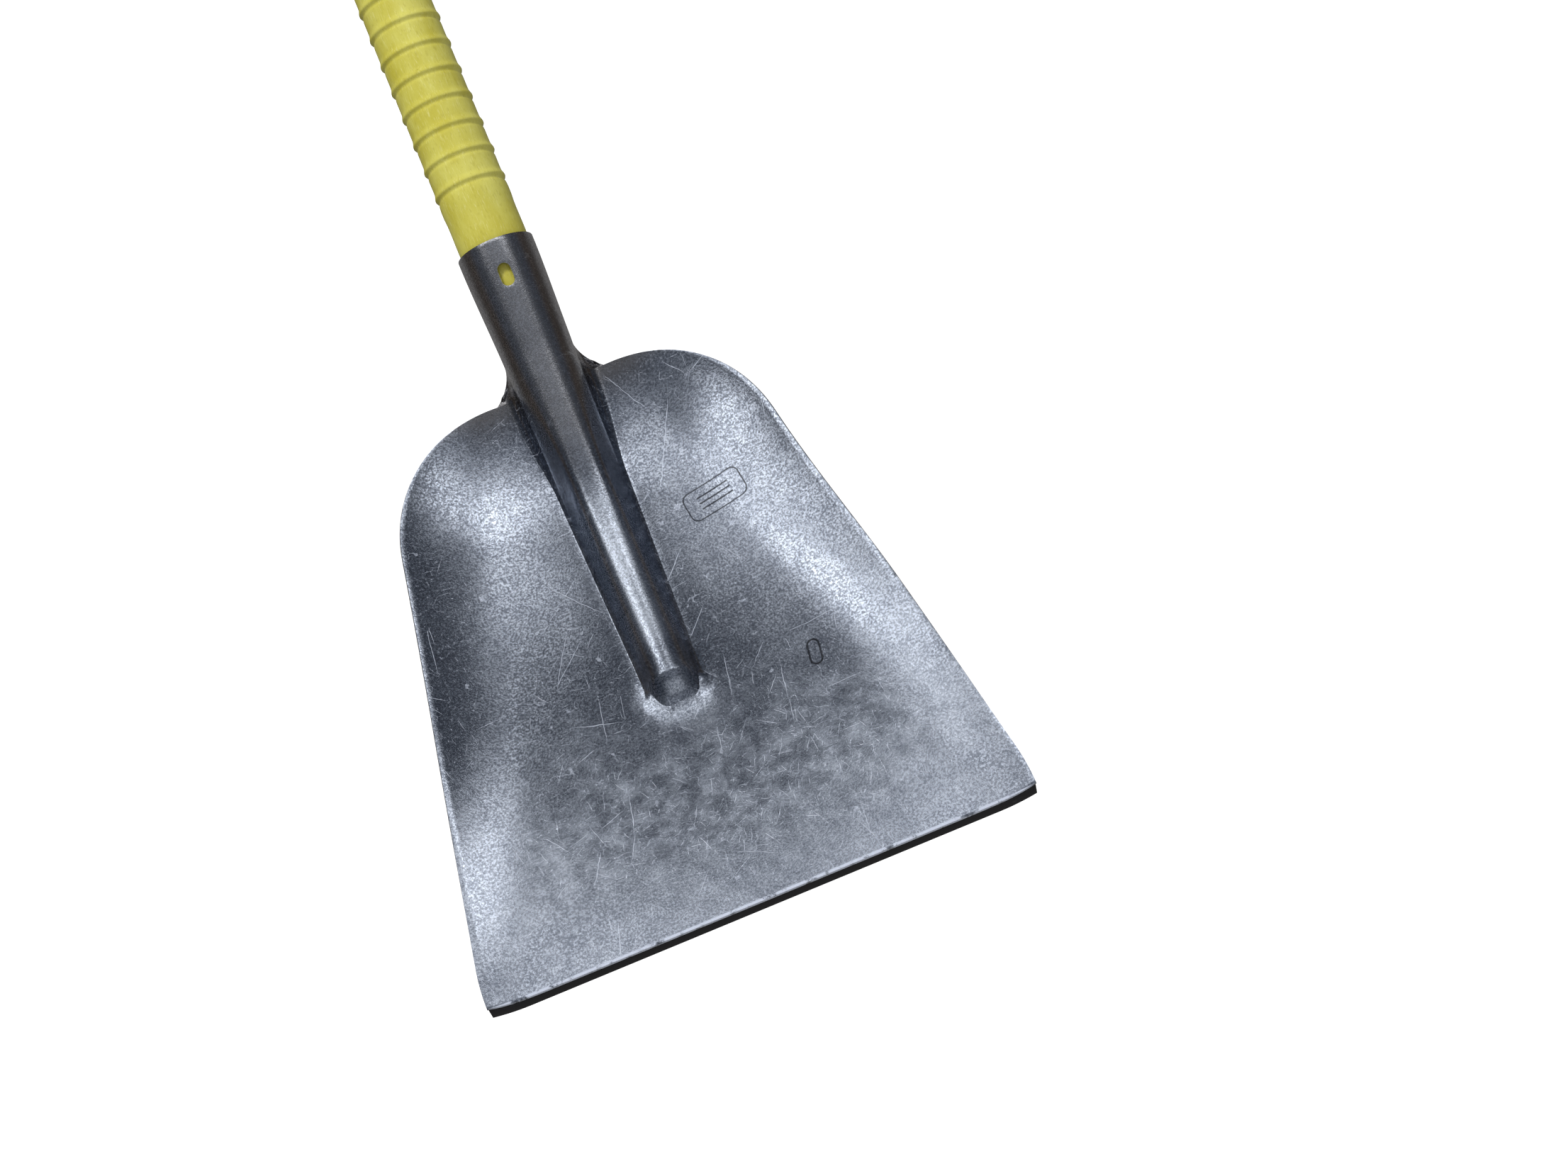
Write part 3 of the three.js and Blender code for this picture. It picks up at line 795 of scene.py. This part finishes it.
def scratches(shader, place, cell, length, width, share, seed):
    """Hairlines, one in some of the cells of a pattern, each at its own angle."""
    moved = shader.mapped(place, (seed * 37.3, seed * 19.7, 0))
    cells = shader.voronoi(moved, 1 / cell)
    offset = shader.vector_math("SUBTRACT", moved, cells.outputs["Position"])
    red, green, blue = shader.separate(cells.outputs["Color"])
    angle = shader.math("MULTIPLY", red, math.pi)
    x, y, _ = shader.separate(offset)
    cos, sin = shader.math("COSINE", angle), shader.math("SINE", angle)
    along = shader.math("ADD", shader.math("MULTIPLY", x, cos), shader.math("MULTIPLY", y, sin))
    off = shader.math("SUBTRACT", shader.math("MULTIPLY", y, cos), shader.math("MULTIPLY", x, sin))
    line = shader.range(shader.math("ABSOLUTE", off), width * 0.4, width, 1.0, 0.0)
    reach = shader.math("MULTIPLY", green, length * 0.5)
    ends = shader.range(shader.math("SUBTRACT", shader.math("ABSOLUTE", along), reach),
                        -length * 0.3, 0.0, 1.0, 0.0)
    chosen = shader.math("LESS_THAN", blue, share)
    return shader.math("MULTIPLY", shader.math("MULTIPLY", line, ends), chosen)


def rounded_outline(shader, place, centre, tilt, core, radius, width):
    """A thin line round a box with rounded ends, lying on the blade; also the place inside it."""
    cos, sin = math.cos(tilt), math.sin(tilt)
    shift = (-centre[0] * cos - centre[1] * sin, centre[0] * sin - centre[1] * cos, 0)
    local = shader.mapped(place, shift, (0, 0, -tilt))
    x, y, _ = shader.separate(local)
    past = [shader.math("MAXIMUM", shader.math("SUBTRACT", shader.math("ABSOLUTE", v), half), 0.0)
            for v, half in ((x, core[0]), (y, core[1]))]
    distance = shader.vector_math("LENGTH", shader.combine(past[0], past[1], 0.0))
    off = shader.math("ABSOLUTE", shader.math("SUBTRACT", distance, radius))
    return shader.range(off, width * 0.5, width, 1.0, 0.0), x, y


def stamped_marks(shader, place):
    """Two plain punched marks: a small oblong, and a frame round three bars."""
    oblong, _, _ = rounded_outline(shader, place, (70, 115), -0.14, (0, 4), 3, 0.6)
    frame, x, y = rounded_outline(shader, place, (56, 222), 0.12, (12, 4.5), 4, 0.35)
    bar = shader.range(shader.math("PINGPONG", y, 1.7), 0.2, 0.45, 1.0, 0.0)
    for v, half in ((x, 9), (y, 4.2)):
        bar = shader.math("MULTIPLY", bar, shader.math("LESS_THAN", shader.math("ABSOLUTE", v), half))
    return shader.math("MAXIMUM", oblong, shader.math("MAXIMUM", frame, bar))


# cell, length, half width, share of the cells, seed and strength of each set of hairlines
LONG_SETS = (
    (58, 90, 0.2, 0.5, 1, 0.9),
    (47, 70, 0.15, 0.5, 3, 0.7),
    (33, 50, 0.15, 0.5, 5, 0.65),
    (19, 28, 0.14, 0.5, 2, 0.55),
    (11, 14, 0.14, 0.5, 8, 0.5),
    (6, 3.5, 0.14, 0.4, 9, 0.4),
    (3.1, 1.6, 0.16, 0.5, 6, 0.45),
)
FELT_SETS = (
    (23, 34, 0.15, 0.8, 15, 0.75),
    (13, 20, 0.14, 0.8, 11, 0.7),
    (8.5, 13, 0.14, 0.8, 12, 0.65),
    (5.2, 8, 0.13, 0.8, 13, 0.6),
    (3.6, 5, 0.13, 0.8, 14, 0.55),
)
CURL_SIZE, CURL_LINE, CURL_SEED, CURL_WEIGHT = 11, 0.1, 7, 0.4

DARK_STEEL, LIGHT_STEEL = (0.25, 0.28, 0.345), (0.82, 0.885, 1.0)
# The second of these is painted shade, laid on the shoulders beside the socket's foot.
BROWNED_STEEL, PAINTED_SHADE = (0.80, 0.75, 0.71), (0.20, 0.18, 0.165)
BARE_LINE, PUNCHED_LINE = (0.78, 0.84, 0.98), (0.03, 0.03, 0.04)


def hairlines(shader, place, sets, earlier):
    """Several sets of hairlines, each worked out once the one before it is."""
    marks = earlier
    for cell, length, width, share, seed, weight in sets:
        layer = scratches(shader, later(shader, place, marks), cell, length, width, share, seed)
        marks = shader.math("MAXIMUM", marks, shader.math("MULTIPLY", layer, weight))
    return marks


def steel_marks(shader, place, y, worn, patches, grain, covered):
    """Long hairlines and curls, a felt of fine ones where it is worn, specks of grain, and a light line
    along the front edge that is partly wear and partly a painted highlight.
    """
    wavy = wiggled(shader, place)
    marks = hairlines(shader, wavy, LONG_SETS, 0.0)
    layer = curls(shader, later(shader, wavy, marks), CURL_SIZE, CURL_LINE, CURL_SEED)
    marks = shader.math("MAXIMUM", marks, shader.math("MULTIPLY", layer, CURL_WEIGHT))
    none_yet = shader.math("MULTIPLY", marks, 0.0)  # zero, but known only after the marks
    felt = hairlines(shader, wavy, FELT_SETS, none_yet)
    felt_here = shader.math("MULTIPLY", worn, shader.range(patches, 0.3, 0.6, 0.5, 1.0))
    felt = shader.math("MULTIPLY", felt, shader.math("MAXIMUM", felt_here, 0.2))
    felt = shader.math("MULTIPLY", felt, shader.range(y, 5, 60, 0.7, 1.0))
    specks = shader.range(grain, 0.58, 0.7, 0.0, 0.35)
    for layer in (felt, specks):
        marks = shader.math("MAXIMUM", marks, layer)
    marks = shader.math("MULTIPLY", marks, shader.range(covered, 0, 1, 1.0, 0.15))
    # A light line along the front edge: partly bare worn metal, partly a painted highlight where the edge
    # catches light.
    edge_wear_and_glint = shader.math("MULTIPLY", shader.range(y, 0.9, 2.0, 0.9, 0.0),
                              shader.range(patches, 0.36, 0.5))
    return shader.math("MAXIMUM", marks, edge_wear_and_glint)


def steel_tone(shader, y, worn, patches, cloud, flake, crest_rub_and_highlight):
    """How light the metal is, from 0 to 1: mottled all over, lighter where worn, and lighter along the
    ridge's top, partly from rubbing and partly as a painted highlight.
    """
    tone = shader.math("MULTIPLY", flake, shader.range(worn, 0, 1, 0.7, 0.42))
    tone = shader.math("ADD", tone, shader.range(worn, 0, 1, 0.02, 0.24))
    tone = shader.math("SUBTRACT", tone, shader.range(y, 15, 45, 0.12, 0.0))
    tone = shader.math("ADD", tone, crest_rub_and_highlight)
    tone = shader.math("ADD", tone, shader.about_zero(patches, 0.7))
    return shader.math("ADD", tone, shader.about_zero(cloud, 0.5), clamp=True)


def steel_colour(shader, x, y, tone, socket, marks, stamp):
    metal = shader.colour(tone, DARK_STEEL, LIGHT_STEEL)
    metal = shader.colour(shader.math("MULTIPLY", socket, 0.4), metal, BROWNED_STEEL)
    # Painted shade: the shoulders beside the socket's foot darken towards the socket.
    across = shader.math("ABSOLUTE", x)
    beside = shader.math("MULTIPLY", shader.range(across, 16, 24),
                         shader.range(across, 40, 60, 1.0, 0.0))
    shade_by_socket = shader.math("MULTIPLY", beside, shader.range(y, 286, 312, 0.0, 0.6))
    metal = shader.colour(shade_by_socket, metal, PAINTED_SHADE)
    metal = shader.colour(marks, metal, BARE_LINE)
    return shader.colour(shader.math("MULTIPLY", stamp, 0.8), metal, PUNCHED_LINE)


def steel_roughness(shader, place, flake, socket, dust, crest_rub_and_highlight, marks):
    rough = shader.range(flake, 0, 1, 0.2, 0.14)
    rough = shader.math("ADD", rough, shader.math("MULTIPLY", socket, 0.1))
    rough = shader.math("ADD", rough, shader.math("MULTIPLY", dust, 0.06))
    nose = (0, RIDGE_END + 2, 0)
    from_nose = shader.vector_math("LENGTH", shader.vector_math("SUBTRACT", place, nose))
    dull = shader.math("MAXIMUM", shader.range(from_nose, 12, 34, 0.08, 0.0),
                       shader.math("MULTIPLY", crest_rub_and_highlight, 0.25))
    rough = shader.math("ADD", rough, dull)
    return shader.math("MAXIMUM", rough, shader.math("MULTIPLY", marks, 0.5))


def steel_material():
    """Numbers against y are millimetres from the front edge; shares run from 0 to 1."""
    shader = Shader("worn_steel")
    place = shader.blade_place()
    x, y, _ = shader.separate(place)
    cloud = shader.noise(place, 0.03, 3.0, 0.6)
    patches = shader.noise(place, 0.1, 4.0, 0.68)
    grain = shader.noise(place, 0.85, 3.0, 0.8)
    centre = shader.range(shader.math("ABSOLUTE", x), 14, 18, 1.0, 0.0)
    socket = shader.math("MAXIMUM", shader.range(y, 300, 314),
                         shader.math("MULTIPLY", shader.range(y, 235, 285), centre))
    worn = shader.range(shader.math("SUBTRACT", y, shader.about_zero(cloud, 150)), 55, 160, 1.0, 0.0)
    covered = shader.math("MAXIMUM", socket,
                          shader.math("MULTIPLY", centre, shader.range(y, 116, 126)))
    marks = steel_marks(shader, place, y, worn, patches, grain, covered)
    stamp = stamped_marks(shader, place)

    flake = shader.range(grain, 0.4, 0.6)
    # Lighter along the ridge's top: partly rubbed wear, partly a painted highlight.
    crest_rub_and_highlight = shader.math("MULTIPLY", centre, shader.range(y, 130, 160))
    crest_rub_and_highlight = shader.math("MULTIPLY", crest_rub_and_highlight, shader.range(y, 225, 265, 0.35, 0.0))
    tone = steel_tone(shader, y, worn, patches, cloud, flake, crest_rub_and_highlight)
    shader.put(shader.bsdf.inputs["Base Color"],
               steel_colour(shader, x, y, tone, socket, marks, stamp))

    dust = shader.math("MULTIPLY", shader.range(patches, 0.34, 0.7), worn)
    band = shader.math("MULTIPLY", shader.range(y, 20, 55), shader.range(y, 75, 110, 1.0, 0.0))
    matt = shader.math("MAXIMUM", shader.math("MULTIPLY", dust, shader.range(band, 0, 1, 0.1, 0.2)),
                       shader.math("MULTIPLY", marks, 0.65))
    shader.put(shader.bsdf.inputs["Metallic"], shader.math("SUBTRACT", 1.0, matt))
    shader.put(shader.bsdf.inputs["Roughness"],
               steel_roughness(shader, place, flake, socket, dust, crest_rub_and_highlight, marks))
    normal = shader.bump(grain, 0.00013, 0.5)
    normal = shader.bump(shader.math("SUBTRACT", 1.0, marks), 0.00004, 0.5, normal)
    normal = shader.bump(shader.math("SUBTRACT", 1.0, stamp), 0.0003, 0.8, normal)
    shader.put(shader.bsdf.inputs["Normal"], normal)
    return shader.material


DEEP_STAIN, PALE_STAIN = (0.46, 0.41, 0.045), (0.58, 0.55, 0.125)
PALE_FIBRE, DARK_FLECK, DARK_SPECK = (0.74, 0.72, 0.33), (0.33, 0.28, 0.03), (0.12, 0.09, 0.02)


def handle_material():
    shader = Shader("yellow_handle")
    place = shader.place()
    long_place = shader.mapped(place, scale=(1, 0.35, 1))
    cloud = shader.noise(long_place, 34, 3.0, 0.6)
    patch = shader.noise(shader.mapped(place, (3, 1, 2), scale=(1, 0.5, 1)), 75, 3.0, 0.6)
    fibre = shader.noise(shader.mapped(place, scale=(1, 0.12, 1)), 1500, 3.0, 0.7)
    fleck = shader.noise(shader.mapped(place, scale=(1, 0.3, 1)), 900, 2.0, 0.6)
    pale = shader.range(shader.math("ADD", shader.math("MULTIPLY", cloud, 0.6),
                                    shader.math("MULTIPLY", patch, 0.4)), 0.36, 0.68)
    stain = shader.colour(pale, DEEP_STAIN, PALE_STAIN)
    stain = shader.colour(shader.range(fibre, 0.52, 0.75, 0.0, 0.4), stain, PALE_FIBRE)
    stain = shader.colour(shader.range(fleck, 0.3, 0.45, 0.3, 0.0), stain, DARK_FLECK)
    dots = shader.voronoi(place, 170, "3D")
    _, _, chance = shader.separate(dots.outputs["Color"])
    near = shader.range(dots.outputs["Distance"], 0.02, 0.045, 1.0, 0.0)
    speck = shader.math("MULTIPLY", near, shader.math("GREATER_THAN", chance, 0.9))
    stain = shader.colour(speck, stain, DARK_SPECK)
    shader.put(shader.bsdf.inputs["Base Color"], stain)
    shader.put(shader.bsdf.inputs["Roughness"], shader.range(fibre, 0.3, 0.7, 0.5, 0.38))
    shader.bsdf.inputs["Specular IOR Level"].default_value = 0.4
    normal = shader.bump(fibre, 0.0001, 0.25)
    shader.put(shader.bsdf.inputs["Normal"], normal)
    return shader.material


def strip_material():
    shader = Shader("black_strip")
    place = shader.blade_place()
    grain = shader.noise(place, 1.1, 3.0, 0.6)
    rub = shader.noise(shader.mapped(place, scale=(0.2, 1, 1)), 0.6, 3.0, 0.6)
    tone = shader.colour(shader.range(grain, 0.35, 0.7), (0.010, 0.010, 0.012), (0.026, 0.026, 0.03))
    tone = shader.colour(shader.range(rub, 0.62, 0.75, 0.0, 0.6), tone, (0.07, 0.07, 0.075))
    shader.put(shader.bsdf.inputs["Base Color"], tone)
    shader.put(shader.bsdf.inputs["Roughness"], shader.range(grain, 0.3, 0.7, 0.5, 0.7))
    shader.put(shader.bsdf.inputs["Normal"], shader.bump(grain, 0.0002, 0.4))
    return shader.material


def screw_material():
    shader = Shader("screw_steel")
    place = shader.place()
    grain = shader.noise(place, 1800, 2.0, 0.6)
    shader.put(shader.bsdf.inputs["Base Color"],
               shader.colour(grain, (0.45, 0.45, 0.46), (0.68, 0.68, 0.69)))
    shader.bsdf.inputs["Metallic"].default_value = 1.0
    shader.put(shader.bsdf.inputs["Roughness"], shader.range(grain, 0.3, 0.7, 0.3, 0.45))
    shader.put(shader.bsdf.inputs["Normal"], shader.bump(grain, 0.00005, 0.3))
    return shader.material


def dress(obj, material, nodes):
    obj.data.materials.clear()
    obj.data.materials.append(material)
    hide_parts(*nodes)
    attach(obj, "root")


# ---- studio ----
SEEN_WHITE = (1.1, 1.1, 1.1)  # a little past white, so that no grey is left behind the shovel
LIGHT_DISTANCE = 2.6
# name, azimuth, elevation, half width and half height in degrees, and radiance
KEY = ("key", -14, 40, 7, 6, 36.0)
WINDOWS = (
    ("window_far_left", -40.5, 42.8, 11, 5.5, 1.3),
    ("window_left_low", -20.8, 32, 5.3, 8.5, 1.7),
    ("window_left_high", -11, 51, 9.5, 8, 0.6),
    ("window_middle", 17.5, 49.2, 8.5, 7.6, 1.15),
    ("window_crest", -1, 52.5, 3.5, 4, 0.9),
    ("window_low", 11.5, 37, 3.5, 2.8, 0.62),
    ("window_front", -23, 45.5, 6.5, 3.5, 0.9),
    ("window_dim", -10.5, 35.5, 5, 3.6, 0.42),
    ("panel_in_front", 180, 50, 35, 9, 0.35),
    ("window_right", 39, 50, 17, 3.6, 1.2),
)


def soft_box(name, azimuth, elevation, half_width, half_height, radiance):
    """A lit panel as seen from the blade: its direction and half its size, in degrees."""
    azimuth, elevation = math.radians(azimuth), math.radians(elevation)
    toward = Vector((math.sin(azimuth) * math.cos(elevation),
                     math.cos(azimuth) * math.cos(elevation), math.sin(elevation)))
    light = bpy.data.lights.new(name, "AREA")
    light.shape = "RECTANGLE"
    light.size = 2 * LIGHT_DISTANCE * math.tan(math.radians(half_width) * math.cos(elevation))
    light.size_y = 2 * LIGHT_DISTANCE * math.tan(math.radians(half_height))
    light.energy = radiance * 4 * light.size * light.size_y
    obj = bpy.data.objects.new(name, light)
    obj.location = BLADE_MIDDLE + toward * LIGHT_DISTANCE
    obj.rotation_euler = toward.to_track_quat("Z", "Y").to_euler()
    obj.visible_camera = False
    scene.collection.objects.link(obj)
    return obj


def build_lights():
    """The key lights matt surfaces only; the windows are what the steel mirrors."""
    key = soft_box(*KEY)
    key.visible_glossy = False
    for window in WINDOWS:
        soft_box(*window)


def build_world():
    """White to the camera, a soft fill for matt surfaces and a dim room for shiny ones."""
    world = bpy.data.worlds.new("studio")
    scene.world = world
    world.use_nodes = True
    world.cycles.sampling_method = "NONE"
    tree = world.node_tree
    tree.nodes.clear()
    path = tree.nodes.new("ShaderNodeLightPath")
    height = tree.nodes.new("ShaderNodeSeparateXYZ")
    coords = tree.nodes.new("ShaderNodeTexCoord")
    tree.links.new(coords.outputs["Generated"], height.inputs[0])
    turned_up = tree.nodes.new("ShaderNodeMapRange")
    tree.links.new(height.outputs[2], turned_up.inputs[0])
    turned_up.inputs["From Min"].default_value = -1

    def sky(stops):
        ramp = tree.nodes.new("ShaderNodeValToRGB")
        tree.links.new(turned_up.outputs[0], ramp.inputs[0])
        elements = ramp.color_ramp.elements
        while len(elements) < len(stops):
            elements.new(0.5)
        for element, (z, colour) in zip(elements, stops):
            element.position = (z + 1) / 2
            element.color = (*colour, 1)
        return ramp.outputs[0]

    fill = sky([(-1, (0.16, 0.16, 0.15)), (0, (0.32, 0.32, 0.31)), (1, (0.78, 0.79, 0.81))])
    room = sky([(-0.7, (0.2, 0.195, 0.19)), (-0.25, (0.04, 0.034, 0.03)), (0.1, (0.06, 0.047, 0.037)),
                (0.3, (0.045, 0.052, 0.066)), (0.75, (0.055, 0.06, 0.07)), (1, (0.19, 0.2, 0.22))])
    by_kind = tree.nodes.new("ShaderNodeMix")
    by_kind.data_type = "RGBA"
    tree.links.new(path.outputs["Is Glossy Ray"], by_kind.inputs[0])
    tree.links.new(fill, by_kind.inputs[6])
    tree.links.new(room, by_kind.inputs[7])
    seen = tree.nodes.new("ShaderNodeMix")
    seen.data_type = "RGBA"
    tree.links.new(path.outputs["Is Camera Ray"], seen.inputs[0])
    tree.links.new(by_kind.outputs[2], seen.inputs[6])
    seen.inputs[7].default_value = (*SEEN_WHITE, 1)
    background = tree.nodes.new("ShaderNodeBackground")
    tree.links.new(seen.outputs[2], background.inputs["Color"])
    output = tree.nodes.new("ShaderNodeOutputWorld")
    tree.links.new(background.outputs[0], output.inputs["Surface"])


def build_floor():
    """A white floor for the camera; the steel doesn't mirror it and it throws no light up."""
    half = 9.0
    mesh = bpy.data.meshes.new("studio_floor")
    mesh.from_pydata([(-half, -half, 0), (half, -half, 0), (half, half, 0), (-half, half, 0)],
                     [], [(0, 1, 2, 3)])
    floor = bpy.data.objects.new("studio_floor", mesh)
    scene.collection.objects.link(floor)
    shader = Shader("studio_floor")
    shader.bsdf.inputs["Base Color"].default_value = (0.2, 0.2, 0.2, 1)
    shader.bsdf.inputs["Roughness"].default_value = 0.9
    shader.bsdf.inputs["Specular IOR Level"].default_value = 0.0
    shader.bsdf.inputs["Emission Color"].default_value = (1, 1, 1, 1)
    shader.bsdf.inputs["Emission Strength"].default_value = 1.02
    mesh.materials.append(shader.material)
    floor.visible_glossy = False
    floor.visible_diffuse = False


def build_camera():
    data = bpy.data.cameras.new("camera")
    data.lens = LENS_MM
    data.sensor_width = 36
    data.clip_start, data.clip_end = 0.05, 60
    camera = bpy.data.objects.new("camera", data)
    scene.collection.objects.link(camera)
    back = (EYE - LOOK_AT).normalized()
    handle_way = Vector((0, 1, 0))
    level_up = (handle_way - back * handle_way.dot(back)).normalized()
    up = Matrix.Rotation(-HANDLE_LEAN, 3, back) @ level_up
    right = up.cross(back)
    matrix = Matrix((right, up, back)).transposed().to_4x4()
    matrix.translation = EYE
    camera.matrix_world = matrix
    scene.camera = camera


build_camera()
build_world()
build_floor()
build_lights()
scene.view_settings.view_transform = "Standard"

dress(build_scoop(), steel_material(), ["scoop_sheet"])
dress(build_strip(), strip_material(), ["front_edge_strip"])
dress(build_handle(), handle_material(), ["handle"])
dress(build_screw(), screw_material(), ["socket_screw"])
